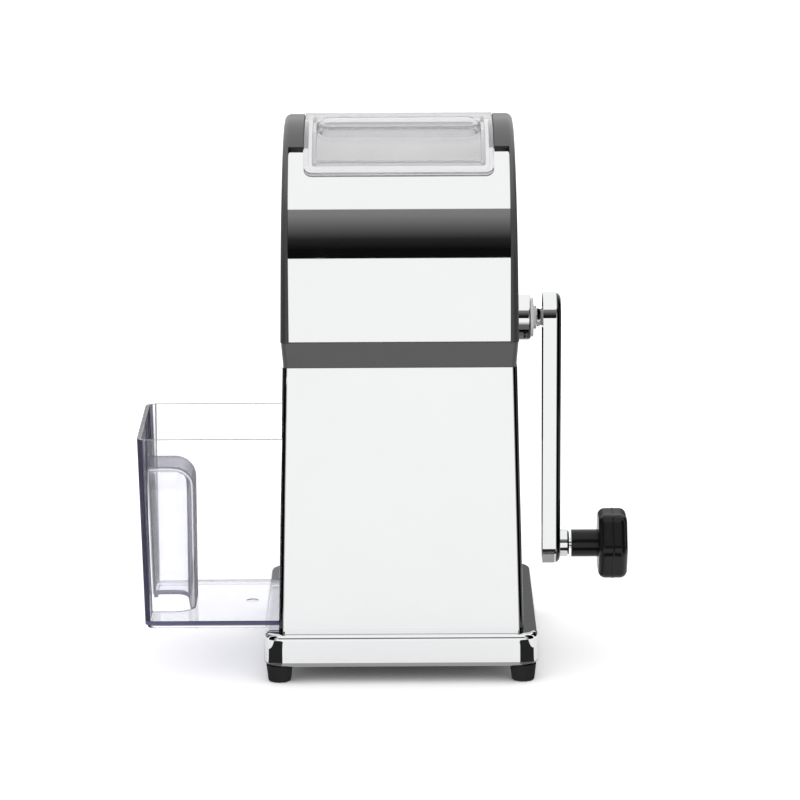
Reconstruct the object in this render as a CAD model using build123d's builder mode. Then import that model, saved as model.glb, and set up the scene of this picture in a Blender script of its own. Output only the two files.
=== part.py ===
from build123d import *
from math import atan2, cos, degrees, hypot, radians, sin
import os

# Hand crank ice crusher. Millimetres, +Z up, feet on Z = 0, front face towards -Y,
# crank on +X, drawer pulled out towards -X. Sizes along X are counted from the middle
# of the base; the last section moves the whole object so that its box is centred.

# ---------------------------------------------------------------- driving dimensions
# base
base_width = 132.4
base_depth = 138.0
base_height = 16.1
base_corner = 9.0
base_edge = 2.6
base_lip = 2.4
base_wall = 2.0
foot_height = 8.1
foot_top_r = 6.4
foot_bottom_r = 5.4
foot_edge = 0.8
foot_edge_inset = 1.0
foot_screw_r = 1.6
foot_screw_head_r = 3.0
foot_screw_head = 2.0
foot_recess = 4.0
boss_wall = 3.4
bottom_plate = 1.8

# tower
tower_y = -14.2
tower_width = 118.2
tower_depth = 94.4
tower_draw_in = 3.1
tower_height = 129.1
tower_corner = 3.0
housing_wall = 1.5

# collar
collar_height = 12.2
collar_step = 0.4
collar_flare = 1.0
collar_wall = 4.0
collar_lip = 4.0
collar_inner_corner = 1.5
shelf = 3.0
shelf_overlap = 0.5
screw_depth = 6.0

# head
head_height = 98.1
head_overhang = 0.3
head_draw_in = 1.4
hood_radius = 65.0
hood_rear_radius = 10.0
hood_smallest_radius = 0.5
hood_wall = 5.0
cheek_wall = 3.0
shoulder_round = 3.4
panel_side_margin = 6.3
panel_thickness = 1.0
panel_recess = 1.8
panel_top_angle = 60.0
panel_corner = 4.0
rear_panel_height = 74.0

# lid and hopper
lid_side_margin = 13.7
lid_thickness = 1.8
lid_stand = 0.3
lid_front_angle = 44.9
lid_corner = 4.0
lid_edge = 0.6
lid_rim_depth = 5.0
lid_hinge_y = 22.0
hinge_barrel_r = 3.4
hinge_pin_r = 1.5
hinge_pin_seat = 4.0
hinge_gap = 0.9
grip_end_margin = 5.9
grip_width = 15.0
grip_rise = 4.6
grip_angle = 73.0
grip_round = 2.4
mouth_margin = 2.1
mouth_front_angle = 47.0
mouth_rear_y = 14.0
mouth_corner = 3.0
rim_front_angle = 50.5
rim_rear_gap = 3.0
hopper_wall = 1.6
hopper_upright = 33.0

# crusher
crank_y = -15.0
crank_above_collar = 3.4
frame_side_margin = 19.1
frame_half_depth = 23.0
frame_wall = 3.0
frame_below_collar = 3.0
frame_height = 44.0
frame_flange = 7.0
frame_flange_thickness = 2.0
frame_corner = 0.8
frame_inner_corner = 0.5
flange_corner = 3.0
shaft_r = 4.0
hub_step = 1.1
shaft_overhang = 4.6
clip_overhang = 2.8
clip_r = 6.4
clip_groove_r = 3.2
clip_thickness = 1.0
clip_mouth = 4.4
shaft_chamfer = 0.6
frame_screw_r = 1.5
frame_screw_head_r = 2.8
frame_screw_head = 1.8
frame_screw_inset = 4.0
chute_flange = 2.0
chute_wall = 1.6
chute_corner = 2.0
chute_inner_corner = 0.6
chute_draw_in = 3.0
chute_above_drawer = 3.5
blade_count = 5
blade_end_gap = 6.5
blade_thickness = 5.0
blade_r = 15.0
blade_root_r = 9.4
blade_bore_flat = 7.0
tooth_count = 6
tooth_stagger = 12.0
tooth_set_in = 1.5
tooth_rise_angle = 9.0
tooth_tip_angle = 13.0
tooth_land_angle = 19.0
tooth_back_angle = 31.0
tooth_heel_angle = 52.0
tooth_rise_share = 0.93
tooth_back_share = 0.8
spacer_r = 7.0
finger_clearance = 1.0
comb_thickness = 3.0
comb_height = 24.0
finger_height = 7.0
finger_tip_above = 2.8
finger_tip_below = 4.2

# bearings and crank
bush_wall = 1.6
bush_flange_r = 9.4
bush_flange = 1.3
bush_nose = 1.5
bush_edge = 0.5
boss_r = 10.9
boss_length = 6.6
boss_edge = 1.2
hub_r = 4.6
hub_flare_r = 6.0
arm_length = 113.3
arm_hub_r = 12.0
arm_tip_r = 9.6
arm_depth = 8.7
arm_wall = 1.4
arm_round = 2.9
arm_gap = 4.6
crank_screw_r = 1.9
crank_screw_head_r = 3.6
crank_screw_grip = 6.0
cross_slot = 0.8
cross_depth = 0.9
hub_gap = 0.35
hub_waist = 1.6
hub_waist_draw_in = 0.64

# knob
spindle_r = 2.5
spindle_set_in = 1.0
spindle_shoulder_r = 3.6
spindle_head_r = 4.2
spindle_head = 2.2
ferrule_r = 6.6
ferrule_length = 4.4
ferrule_edge = 0.9
knob_gap = 1.2
knob_neck_r = 6.7
knob_neck_length = 13.0
knob_across_corners = 37.0
knob_head_length = 14.2
knob_corner = 6.0
knob_round = 3.6
knob_recess_r = 5.2
knob_recess_depth = 6.5
knob_cap = 2.0
knob_cap_edge = 0.5

# drawer
drawer_pulled_out = 66.0
drawer_height = 92.3
drawer_end_margin = 5.9
drawer_depth = 81.4
drawer_draft = 2.4
drawer_side_draft = 0.8
drawer_wall = 2.0
drawer_corner = 5.0
drawer_rim_proud = 3.5
drawer_foot_height = 1.5
drawer_foot_inset = 1.2
drawer_foot_wall = 2.0
pocket_depth = 21.5
pocket_width = 38.9
pocket_height = 70.4
pocket_round = 8.0
pocket_corner = 8.5
gate_mark_r = 3.0
gate_mark_depth = 0.5
guide_wall = 2.0
doorway_margin = 0.9
drawer_front_gap = 1.0

# fits
running = 0.05
seat = 0.1
slide_gap = 0.4
pull_gap = 0.6
beyond = 60.0

# ---------------------------------------------------------------- places worked out
deck_z = foot_height + base_height
housing_top_z = deck_z + tower_height
collar_top_z = housing_top_z + collar_height
head_top_z = collar_top_z + head_height
crank_z = collar_top_z + crank_above_collar

panel_width = tower_width - 2 * panel_side_margin
lid_width = tower_width - 2 * lid_side_margin
grip_length = lid_width - 2 * grip_end_margin
drawer_length = tower_width - 2 * drawer_end_margin
frame_half_width = tower_width / 2 - frame_side_margin
clip_x = -frame_half_width - clip_overhang

housing_top_half_width = tower_width / 2 - tower_draw_in
housing_top_half_depth = tower_depth / 2 - tower_draw_in
collar_low_half_width = housing_top_half_width - collar_step
collar_low_half_depth = housing_top_half_depth - collar_step
head_half_width = collar_low_half_width + collar_flare + head_overhang
head_half_depth = collar_low_half_depth + collar_flare + head_overhang
head_front_y = tower_y - head_half_depth
head_rear_y = tower_y + head_half_depth
arc_y = head_front_y + hood_radius
arc_z = head_top_z - hood_radius

foot_x = base_width / 2 - foot_edge_inset - foot_top_r
foot_y = base_depth / 2 - foot_edge_inset - foot_top_r
foot_places = [(sx * foot_x, sy * foot_y) for sx in (-1, 1) for sy in (-1, 1)]
foot_names = ["front_left", "rear_left", "front_right", "rear_right"]

lid_half_width = lid_width / 2
lid_under = lid_thickness - lid_stand
lid_top_z = head_top_z + lid_stand
hinge_z = lid_top_z - hinge_barrel_r
hopper_neck_z = head_top_z - hopper_upright
mouth_half_width = lid_half_width - mouth_margin
mouth_front_y = arc_y - (hood_radius - panel_recess) * cos(radians(mouth_front_angle))

frame_low_z = housing_top_z - frame_below_collar
frame_top_z = frame_low_z + frame_height
frame_inner_half_width = frame_half_width - frame_wall
frame_inner_half_depth = frame_half_depth - frame_wall
blade_run = 2 * (frame_inner_half_width - blade_end_gap) - blade_thickness
blade_pitch = blade_run / (blade_count - 1)

bush_r = shaft_r + running + bush_wall
boss_start_x = head_half_width + running
boss_end_x = boss_start_x + boss_length
bush_end_x = boss_end_x + bush_flange + bush_nose
arm_start_x = boss_end_x + bush_flange + arm_gap
arm_end_x = arm_start_x + arm_depth
arm_web_x = arm_end_x - arm_wall
knob_z = crank_z - arm_length
ferrule_end_x = arm_end_x + ferrule_length
knob_start_x = ferrule_end_x + knob_gap
knob_head_x = knob_start_x + knob_neck_length
knob_end_x = knob_head_x + knob_head_length
shaft_end_x = arm_web_x - arm_wall - seat
shaft_left_x = -frame_half_width - shaft_overhang

drawer_low_z = deck_z + seat
drawer_floor_z = drawer_low_z + drawer_foot_height
drawer_rim_z = drawer_floor_z + drawer_height
pocket_top_z = drawer_floor_z + pocket_height
rim_lean = tower_draw_in * (drawer_rim_z - deck_z) / tower_height
drawer_front_y = tower_y - tower_depth / 2 + rim_lean + housing_wall + drawer_front_gap
drawer_y = drawer_front_y + drawer_depth / 2
drawer_left_x = -(tower_width / 2 - rim_lean) - drawer_rim_proud - drawer_pulled_out
drawer_x = drawer_left_x + drawer_length / 2
drawer_right_x = drawer_left_x + drawer_length


# ---------------------------------------------------------------- shared shapes
def rounded_slab(z, width, depth, corner, x=0.0, y=0.0):
    """A rectangle with rounded corners, lying level at height z."""
    with BuildSketch(Plane.XY.offset(z)) as slab:
        with Locations((x, y)):
            RectangleRounded(width, depth, corner)
    return slab.sketch


def tower_section(z, inset=0.0, corner=tower_corner):
    """The tower's outline at height z, drawn in by inset on every side."""
    lean = tower_draw_in * (z - deck_z) / tower_height
    width = tower_width - 2 * (lean + inset)
    depth = tower_depth - 2 * (lean + inset)
    return rounded_slab(z, width, depth, corner, y=tower_y)


def head_profile(inset, low=collar_top_z):
    """The head seen from the side: upright front, large quarter round, flat top, small rear round."""
    front, rear, top = head_front_y + inset, head_rear_y - inset, head_top_z - inset
    with BuildSketch(Plane.YZ) as profile:
        with BuildLine():
            FilletPolyline(
                (rear, low), (rear, top), (front, top), (front, low),
                radius=(max(hood_rear_radius - inset, hood_smallest_radius), hood_radius - inset),
            )
            Line((front, low), (rear, low))
        make_face()
    return profile.sketch


def arc_ray(angle, reach=2 * hood_radius):
    """The point that lies reach away from the hood's centre, angle degrees above the front."""
    return (arc_y - reach * cos(radians(angle)), arc_z + reach * sin(radians(angle)))


def side_region(*points):
    """A straight-sided region in the side view."""
    with BuildSketch(Plane.YZ) as region:
        with BuildLine():
            Polyline(*points, close=True)
        make_face()
    return region.sketch


def disc_x(x, radius, y=crank_y, z=crank_z):
    """A circle that faces +X, centred on the crank's axis unless told otherwise."""
    with BuildSketch(Plane.YZ.offset(x)) as disc:
        with Locations((y, z)):
            Circle(radius)
    return disc.sketch


# ---------------------------------------------------------------- base and feet
with BuildPart() as base:
    extrude(rounded_slab(foot_height, base_width, base_depth, base_corner), amount=base_height)
    fillet(base.faces().sort_by(Axis.Z)[-1].edges(), base_edge)
    fillet(base.faces().sort_by(Axis.Z)[0].edges(), base_lip)
    hollow_width = base_width - 2 * (base_lip + base_wall)
    hollow_depth = base_depth - 2 * (base_lip + base_wall)
    hollow_corner = base_corner - base_lip - base_wall
    hollow_height = base_height - base_wall - base_edge / 2
    hollow = rounded_slab(foot_height, hollow_width, hollow_depth, hollow_corner)
    extrude(hollow, amount=hollow_height, mode=Mode.SUBTRACT)
    with BuildSketch(Plane.XY.offset(foot_height + bottom_plate + seat)):
        with Locations(*foot_places):
            Circle(foot_screw_r + boss_wall)
    extrude(amount=hollow_height - bottom_plate - seat)
    with BuildSketch(Plane.XY.offset(foot_height)):
        with Locations(*foot_places):
            Circle(foot_screw_r)
    extrude(amount=base_height - base_wall - base_edge, mode=Mode.SUBTRACT)

with BuildPart() as base_plate:
    outline = rounded_slab(
        foot_height, hollow_width - 2 * seat, hollow_depth - 2 * seat, hollow_corner)
    extrude(outline, amount=bottom_plate)
    with BuildSketch(Plane.XY.offset(foot_height)):
        with Locations(*foot_places):
            Circle(foot_screw_r + seat)
    extrude(amount=bottom_plate, mode=Mode.SUBTRACT)

feet = {}
for foot_name, (x, y) in zip(foot_names, foot_places):
    with BuildPart() as foot:
        with BuildSketch(Plane.XZ.offset(-y)):
            with BuildLine():
                Polyline(
                    (x + foot_screw_r + seat, foot_recess),
                    (x + foot_screw_r + seat, foot_height),
                    (x + foot_top_r, foot_height),
                    (x + foot_bottom_r, 0),
                    (x + foot_screw_head_r + seat, 0),
                    (x + foot_screw_head_r + seat, foot_recess),
                    close=True,
                )
            make_face()
        revolve(axis=Axis((x, y, 0), (0, 0, 1)))
        fillet(foot.edges().group_by(Axis.Z)[0].sort_by(SortBy.RADIUS)[-1], foot_edge)
    feet[f"foot_{foot_name}"] = foot

with BuildPart() as foot_screws:
    with BuildSketch(Plane.XY.offset(foot_recess - foot_screw_head)):
        with Locations(*foot_places):
            Circle(foot_screw_head_r)
    extrude(amount=foot_screw_head)
    with BuildSketch(Plane.XY.offset(foot_recess)):
        with Locations(*foot_places):
            Circle(foot_screw_r - running)
    extrude(amount=foot_height - foot_recess + base_height - 2 * base_wall - base_edge)

# ---------------------------------------------------------------- lower housing
doorway_top_z = drawer_rim_z + doorway_margin
doorway_front_y = drawer_front_y - doorway_margin
doorway_rear_y = drawer_front_y + drawer_depth + doorway_margin

with BuildPart() as lower_housing:
    loft([tower_section(deck_z), tower_section(housing_top_z)])
    inner_corner = tower_corner - housing_wall
    loft(
        [
            tower_section(deck_z, housing_wall, inner_corner),
            tower_section(housing_top_z, housing_wall, inner_corner),
        ],
        mode=Mode.SUBTRACT,
    )
    with BuildSketch(Plane.YZ.offset(-tower_width / 2)):
        with Locations(((doorway_front_y + doorway_rear_y) / 2, (deck_z + doorway_top_z) / 2)):
            Rectangle(doorway_rear_y - doorway_front_y, doorway_top_z - deck_z)
    extrude(amount=tower_draw_in + tower_corner + housing_wall, mode=Mode.SUBTRACT)

# ---------------------------------------------------------------- drawer guide
guide_low_z = deck_z
guide_rear_y = drawer_front_y + drawer_depth + slide_gap
guide_left_x = -(tower_width / 2 - tower_draw_in - housing_wall - pull_gap)
guide_stop_x = drawer_right_x + drawer_pulled_out + slide_gap
guide_top_z = drawer_rim_z + slide_gap

with BuildPart() as drawer_guide:
    with BuildSketch(Plane.YZ.offset(guide_left_x)):
        with BuildLine():
            Polyline(
                (guide_rear_y, guide_low_z),
                (guide_rear_y, guide_top_z),
                (guide_rear_y - guide_wall, guide_top_z),
                (guide_rear_y - guide_wall, guide_top_z + guide_wall),
                (guide_rear_y + guide_wall, guide_top_z + guide_wall),
                (guide_rear_y + guide_wall, guide_low_z),
                close=True,
            )
        make_face()
    extrude(amount=guide_stop_x + guide_wall - guide_left_x)
    stop_depth = guide_rear_y - drawer_front_y
    stop_height = guide_top_z + guide_wall - guide_low_z
    stop_place = (
        guide_stop_x + guide_wall / 2, drawer_front_y + stop_depth / 2, guide_low_z + stop_height / 2)
    with Locations(stop_place):
        Box(guide_wall, stop_depth, stop_height)

# ---------------------------------------------------------------- collar
with BuildPart() as collar:
    low_width, low_depth = 2 * collar_low_half_width, 2 * collar_low_half_depth
    top_width, top_depth = low_width + 2 * collar_flare, low_depth + 2 * collar_flare
    loft([
        rounded_slab(housing_top_z, low_width, low_depth, tower_corner, y=tower_y),
        rounded_slab(collar_top_z, top_width, top_depth, tower_corner, y=tower_y),
    ])
    lip_width = low_width - 2 * (housing_wall + seat)
    lip_depth = low_depth - 2 * (housing_wall + seat)
    lip = rounded_slab(housing_top_z - collar_lip, lip_width, lip_depth, collar_inner_corner, y=tower_y)
    extrude(lip, amount=collar_lip)
    hole = rounded_slab(
        housing_top_z - collar_lip, low_width - 2 * collar_wall, low_depth - 2 * collar_wall,
        collar_inner_corner, y=tower_y)
    extrude(hole, amount=collar_height + collar_lip, mode=Mode.SUBTRACT)
    extrude(
        rounded_slab(
            housing_top_z, low_width - 2 * (collar_wall - shelf_overlap),
            low_depth - 2 * (collar_wall - shelf_overlap), collar_inner_corner, y=tower_y),
        amount=shelf)
    extrude(
        rounded_slab(
            housing_top_z, 2 * (frame_half_width + seat), 2 * (frame_half_depth + seat),
            frame_corner, y=crank_y),
        amount=shelf, mode=Mode.SUBTRACT)
    extrude(disc_x(frame_half_width, bush_r + seat), amount=beyond, mode=Mode.SUBTRACT)

# ---------------------------------------------------------------- hood
side_lean = degrees(atan2(head_draw_in, head_height))

with BuildPart() as hood:
    extrude(head_profile(0), amount=head_half_width, both=True)
    bound = rounded_slab(collar_top_z, 2 * head_half_width, 4 * beyond, seat)
    extrude(bound, amount=head_height + seat, taper=side_lean, mode=Mode.INTERSECT)
    left_face = hood.faces().sort_by(Axis.X)[0]
    right_face = hood.faces().sort_by(Axis.X)[-1]
    rim_edges = (left_face.edges() + right_face.edges()).filter_by(
        lambda edge: edge.center().Z > collar_top_z + shoulder_round)
    fillet(rim_edges, shoulder_round)
    inner_half_width = head_half_width - head_draw_in - cheek_wall
    extrude(head_profile(hood_wall), amount=inner_half_width, both=True, mode=Mode.SUBTRACT)
    # recess for the front panel
    panel_floor = panel_recess + panel_thickness + seat
    front_region = side_region(
        (arc_y, arc_z), arc_ray(panel_top_angle), (head_front_y - beyond, head_top_z),
        (head_front_y - beyond, collar_top_z), (arc_y, collar_top_z))
    extrude(
        front_region - head_profile(panel_floor, collar_top_z - seat),
        amount=panel_width / 2 + seat, both=True, mode=Mode.SUBTRACT)
    # recess for the rear panel
    rear_region = side_region(
        (arc_y, collar_top_z), (head_rear_y + beyond, collar_top_z),
        (head_rear_y + beyond, collar_top_z + rear_panel_height),
        (arc_y, collar_top_z + rear_panel_height))
    extrude(
        rear_region - head_profile(panel_floor, collar_top_z - seat),
        amount=panel_width / 2 + seat, both=True, mode=Mode.SUBTRACT)
    # recess for the lid, flush with the shoulders
    lid_region = side_region(
        (arc_y, arc_z), arc_ray(panel_top_angle - slide_gap), (arc_y, head_top_z + beyond),
        (lid_hinge_y, head_top_z + beyond), (lid_hinge_y, arc_z))
    extrude(
        lid_region - head_profile(panel_recess, collar_top_z - seat),
        amount=lid_half_width + slide_gap, both=True, mode=Mode.SUBTRACT)
    trough_r = hinge_barrel_r + hinge_gap
    trough = disc_x(-lid_half_width - slide_gap, trough_r, lid_hinge_y, hinge_z)
    extrude(trough, amount=2 * (lid_half_width + slide_gap), mode=Mode.SUBTRACT)
    extrude(
        side_region(
            (lid_hinge_y - trough_r, hinge_z), (lid_hinge_y + trough_r, hinge_z),
            (lid_hinge_y + trough_r, lid_top_z), (lid_hinge_y - trough_r, lid_top_z)),
        amount=lid_half_width + slide_gap, both=True, mode=Mode.SUBTRACT)
    pin_reach = lid_half_width + slide_gap + hinge_pin_seat + seat
    pin_bore = disc_x(-pin_reach, hinge_pin_r + running, lid_hinge_y, hinge_z)
    extrude(pin_bore, amount=2 * pin_reach, mode=Mode.SUBTRACT)
    # mouth for the hopper
    mouth = rounded_slab(
        hopper_neck_z, 2 * mouth_half_width, mouth_rear_y - mouth_front_y, mouth_corner,
        y=(mouth_front_y + mouth_rear_y) / 2)
    extrude(mouth, amount=beyond, mode=Mode.SUBTRACT)
    # half-round seat for the bush
    extrude(disc_x(frame_half_width, bush_r + seat), amount=beyond, mode=Mode.SUBTRACT)

# ---------------------------------------------------------------- front and rear panels
with BuildPart() as front_panel:
    skin = head_profile(panel_recess) - head_profile(panel_recess + panel_thickness, collar_top_z - seat)
    extrude(skin & front_region, amount=panel_width / 2, both=True)
    top_edges = front_panel.edges().filter_by(Axis.X, reverse=True).group_by(Axis.Z)[-1]
    fillet(top_edges, panel_corner)
    extrude(mouth, amount=beyond, mode=Mode.SUBTRACT)

with BuildPart() as rear_panel:
    extrude(skin & rear_region, amount=panel_width / 2, both=True)
    top_edges = rear_panel.edges().filter_by(Axis.Y).group_by(Axis.Z)[-1]
    fillet(top_edges, panel_corner)

# ---------------------------------------------------------------- lid
def on_lid_border(edge):
    """True for the outer edges of the lid's plate, along its front and its two sides."""
    middle = edge @ 0.5
    skin = middle.Z - head_top_z if middle.Y > arc_y else hypot(
        middle.Y - arc_y, middle.Z - arc_z) - hood_radius
    on_skin = abs(skin - lid_stand) < running
    return on_skin and (abs(middle.X) > mouth_half_width or middle.Y < mouth_front_y)


with BuildPart() as lid:
    lid_strip = head_profile(-lid_stand) - head_profile(lid_under, collar_top_z - seat)
    lid_side = side_region(
        (arc_y, arc_z), arc_ray(lid_front_angle), (arc_y, head_top_z + beyond),
        (lid_hinge_y, head_top_z + beyond), (lid_hinge_y, arc_z))
    extrude(lid_strip & lid_side, amount=lid_half_width, both=True)
    front_edges = lid.edges().filter_by(Axis.X, reverse=True).group_by(Axis.Z)[0]
    fillet(front_edges, lid_corner)
    fillet(lid.edges().filter_by(on_lid_border), lid_edge)
    # locating rim that drops into the mouth
    rim_half_width = mouth_half_width - hopper_wall - slide_gap
    rim_rear_y = mouth_rear_y - rim_rear_gap
    rim_side = side_region(
        (arc_y, arc_z), arc_ray(rim_front_angle), (rim_rear_y, head_top_z + beyond),
        (rim_rear_y, arc_z))
    rim_strip = head_profile(lid_under) - head_profile(lid_under + lid_rim_depth, collar_top_z - seat)
    extrude(rim_strip & rim_side, amount=rim_half_width, both=True)
    rim_turn = degrees(lid_thickness / hood_radius)
    core_side = side_region(
        (arc_y, arc_z), arc_ray(rim_front_angle + rim_turn),
        (rim_rear_y - lid_thickness, head_top_z + beyond), (rim_rear_y - lid_thickness, arc_z))
    core_strip = head_profile(lid_under) - head_profile(lid_under + 2 * lid_rim_depth, collar_top_z - seat)
    extrude(core_strip & core_side, amount=rim_half_width - lid_thickness, both=True,
            mode=Mode.SUBTRACT)
    # hinge barrel
    extrude(disc_x(-lid_half_width, hinge_barrel_r, lid_hinge_y, hinge_z), amount=lid_width)
    # grip
    grip_point = arc_ray(grip_angle, hood_radius)
    grip_plane = Plane(
        origin=(0, grip_point[0], grip_point[1]), x_dir=(1, 0, 0),
        z_dir=(0, -cos(radians(grip_angle)), sin(radians(grip_angle))))
    with BuildSketch(grip_plane.offset(-lid_under / 2)):
        SlotOverall(grip_length, grip_width)
    extrude(amount=grip_rise + lid_under / 2)
    crown_face = lid.faces().filter_by(
        lambda face: grip_plane.to_local_coords(face.center()).Z > grip_rise - seat)
    fillet(crown_face.edges(), grip_round)
    with BuildSketch(grip_plane.offset(-lid_thickness * 2)):
        SlotOverall(grip_length - 2 * lid_thickness, grip_width - 2 * lid_thickness)
    extrude(amount=2 * lid_thickness + grip_rise - lid_thickness, mode=Mode.SUBTRACT)
    extrude(
        disc_x(-lid_half_width, hinge_pin_r + seat / 2, lid_hinge_y, hinge_z),
        amount=lid_width, mode=Mode.SUBTRACT)

with BuildPart() as lid_hinge_pin:
    pin_half = lid_half_width + slide_gap + hinge_pin_seat
    extrude(disc_x(-pin_half, hinge_pin_r, lid_hinge_y, hinge_z), amount=2 * pin_half)

# ---------------------------------------------------------------- hopper
with BuildPart() as hopper:
    hopper_front_y = mouth_front_y + seat
    hopper_corner = mouth_corner - seat
    hopper_rear_y = mouth_rear_y - seat
    hopper_half_width = mouth_half_width - seat
    hopper_y = (hopper_front_y + hopper_rear_y) / 2
    hopper_depth = hopper_rear_y - hopper_front_y
    neck_width = 2 * (frame_inner_half_width + hopper_wall)
    neck_depth = 2 * (frame_inner_half_depth + hopper_wall)
    loft([
        rounded_slab(frame_top_z, neck_width, neck_depth, hopper_corner, y=crank_y),
        rounded_slab(hopper_neck_z, 2 * hopper_half_width, hopper_depth, hopper_corner, y=hopper_y),
    ])
    upper = rounded_slab(
        hopper_neck_z, 2 * hopper_half_width, hopper_depth, hopper_corner, y=hopper_y)
    extrude(upper, amount=head_top_z - hopper_neck_z)
    extrude(
        head_profile(panel_recess, frame_low_z), amount=head_half_width, both=True,
        mode=Mode.INTERSECT)
    inner_corner = hopper_corner - hopper_wall
    bore_width = 2 * (hopper_half_width - hopper_wall)
    bore_depth = hopper_depth - 2 * hopper_wall
    loft(
        [
            rounded_slab(
                frame_top_z, 2 * frame_inner_half_width, 2 * frame_inner_half_depth,
                inner_corner, y=crank_y),
            rounded_slab(hopper_neck_z, bore_width, bore_depth, inner_corner, y=hopper_y),
        ],
        mode=Mode.SUBTRACT,
    )
    throat = rounded_slab(hopper_neck_z, bore_width, bore_depth, inner_corner, y=hopper_y)
    extrude(throat, amount=head_top_z - hopper_neck_z, mode=Mode.SUBTRACT)

# ---------------------------------------------------------------- crusher frame and chute
frame_width, frame_depth = 2 * frame_half_width, 2 * frame_half_depth
flange_width, flange_depth = frame_width + 2 * frame_flange, frame_depth + 2 * frame_flange
shelf_top_z = housing_top_z + shelf
frame_screw_places = [
    (sx * (frame_half_width + frame_flange / 2), crank_y + sy * (frame_half_depth - frame_screw_inset))
    for sx in (-1, 1) for sy in (-1, 1)]

with BuildPart() as crusher_frame:
    extrude(
        rounded_slab(frame_low_z, frame_width, frame_depth, frame_corner, y=crank_y),
        amount=frame_height)
    extrude(
        rounded_slab(shelf_top_z, flange_width, flange_depth, flange_corner, y=crank_y),
        amount=frame_flange_thickness)
    extrude(
        rounded_slab(
            frame_low_z, 2 * frame_inner_half_width, 2 * frame_inner_half_depth,
            frame_inner_corner, y=crank_y),
        amount=frame_height, mode=Mode.SUBTRACT)
    extrude(disc_x(0, bush_r + seat), amount=frame_half_width, both=True, mode=Mode.SUBTRACT)
    with BuildSketch(Plane.XY.offset(shelf_top_z)):
        with Locations(*frame_screw_places):
            Circle(frame_screw_r + seat)
    extrude(amount=frame_flange_thickness, mode=Mode.SUBTRACT)

with collar:
    with BuildSketch(Plane.XY.offset(housing_top_z - screw_depth)):
        with Locations(*frame_screw_places):
            Circle(frame_screw_r + running)
    extrude(amount=screw_depth + shelf, mode=Mode.SUBTRACT)

with BuildPart() as ice_chute:
    extrude(
        rounded_slab(housing_top_z - chute_flange, flange_width, flange_depth, flange_corner, y=crank_y),
        amount=chute_flange)
    chute_top_width = frame_width + 2 * (seat + chute_wall)
    chute_top_depth = frame_depth + 2 * (seat + chute_wall)
    chute_low_z = drawer_rim_z + chute_above_drawer
    chute_top = rounded_slab(
        frame_low_z, chute_top_width, chute_top_depth, chute_corner, y=crank_y)
    extrude(chute_top, amount=frame_below_collar)
    chute_low = rounded_slab(
        chute_low_z, chute_top_width - 2 * chute_draw_in, chute_top_depth - 2 * chute_draw_in,
        chute_corner, y=crank_y)
    loft([chute_low, chute_top])
    loft(
        [
            rounded_slab(
                chute_low_z, chute_top_width - 2 * (chute_draw_in + chute_wall),
                chute_top_depth - 2 * (chute_draw_in + chute_wall), chute_inner_corner, y=crank_y),
            rounded_slab(
                frame_low_z, frame_width + 2 * seat, frame_depth + 2 * seat, chute_inner_corner,
                y=crank_y),
        ],
        mode=Mode.SUBTRACT,
    )
    frame_seat = rounded_slab(
        frame_low_z, frame_width + 2 * seat, frame_depth + 2 * seat, chute_inner_corner, y=crank_y)
    extrude(frame_seat, amount=frame_below_collar, mode=Mode.SUBTRACT)
    with BuildSketch(Plane.XY.offset(housing_top_z - chute_flange)):
        with Locations(*frame_screw_places):
            Circle(frame_screw_r + running)
    extrude(amount=chute_flange, mode=Mode.SUBTRACT)

with BuildPart() as frame_screws:
    screw_head_z = shelf_top_z + frame_flange_thickness
    with BuildSketch(Plane.XY.offset(screw_head_z)):
        with Locations(*frame_screw_places):
            Circle(frame_screw_head_r)
    extrude(amount=frame_screw_head)
    with BuildSketch(Plane.XY.offset(screw_head_z)):
        with Locations(*frame_screw_places):
            Circle(frame_screw_r)
    extrude(amount=-(frame_flange_thickness + shelf + chute_flange))

# ---------------------------------------------------------------- crusher shaft and blades
blade_places = [(i - (blade_count - 1) / 2) * blade_pitch for i in range(blade_count)]
rotor_half = frame_inner_half_width - slide_gap


def hexagon_x(x, flats, turn=0.0):
    """A hexagon that faces +X on the crank's axis, measured across its flats."""
    with BuildSketch(Plane.YZ.offset(x)) as hexagon:
        with Locations((crank_y, crank_z)):
            RegularPolygon(flats / 2, 6, major_radius=False, rotation=turn)
    return hexagon.sketch


with BuildPart() as crusher_shaft:
    extrude(disc_x(shaft_left_x, shaft_r), amount=-rotor_half - shaft_left_x)
    extrude(hexagon_x(-rotor_half, blade_bore_flat - 2 * seat), amount=2 * rotor_half)
    extrude(disc_x(rotor_half, shaft_r), amount=bush_end_x + seat - rotor_half)
    extrude(disc_x(bush_end_x, shaft_r - hub_step), amount=shaft_end_x - bush_end_x)
    chamfer(crusher_shaft.faces().sort_by(Axis.X)[0].edges(), shaft_chamfer)
    groove = disc_x(clip_x, clip_r) - disc_x(clip_x, clip_groove_r)
    extrude(groove, amount=clip_thickness + 2 * running, mode=Mode.SUBTRACT)
    extrude(disc_x(shaft_end_x, crank_screw_r + running), amount=-crank_screw_grip, mode=Mode.SUBTRACT)

with BuildPart() as shaft_clip:
    with BuildSketch(Plane.YZ.offset(clip_x + running)):
        with Locations((crank_y, crank_z)):
            Circle(clip_r)
            Circle(clip_groove_r + running, mode=Mode.SUBTRACT)
        with Locations((crank_y, crank_z + clip_r)):
            Rectangle(clip_mouth, 2 * clip_r, mode=Mode.SUBTRACT)
    extrude(amount=clip_thickness)


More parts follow.
